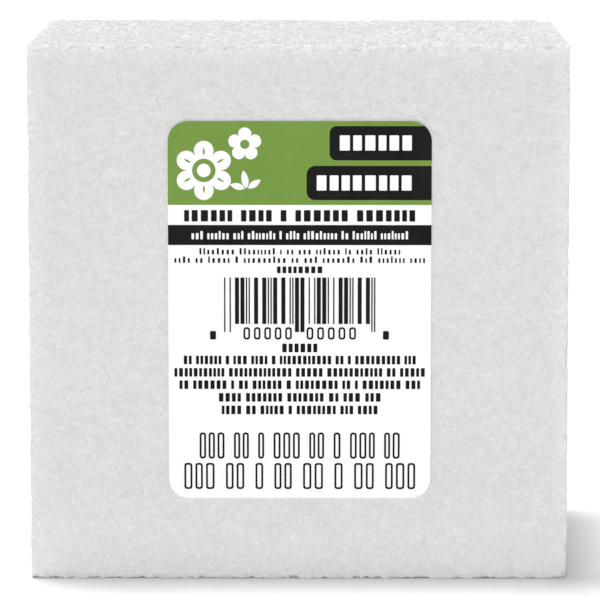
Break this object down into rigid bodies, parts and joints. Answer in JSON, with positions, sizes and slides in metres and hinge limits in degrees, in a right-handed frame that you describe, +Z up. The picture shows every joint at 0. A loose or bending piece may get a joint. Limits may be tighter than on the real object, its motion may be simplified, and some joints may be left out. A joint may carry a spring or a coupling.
{
  "type": "floral foam brick",
  "caption": "White rigid foam brick for flower arranging, a rectangular block with a printed self-adhesive paper label on its front face",
  "frame": {"origin": "the middle of the block's footprint, on the surface that it stands on", "axes": "+Z up; +X to the right as seen facing the label; the label's face looks along -Y, and the block's depth runs along Y"},
  "size_m": [0.0992, 0.0732, 0.0988],
  "materials": {
    "foam": "matte",
    "adhesive": "satin",
    "label_paper": "satin",
    "green_ink": "satin",
    "black_ink": "satin"
  },
  "bodies": {
    "root": {"foam_block": "foam", "label_adhesive": "adhesive", "label_paper": "label_paper", "green_ink": "green_ink", "black_ink": "black_ink"}
  },
  "joints": []
}
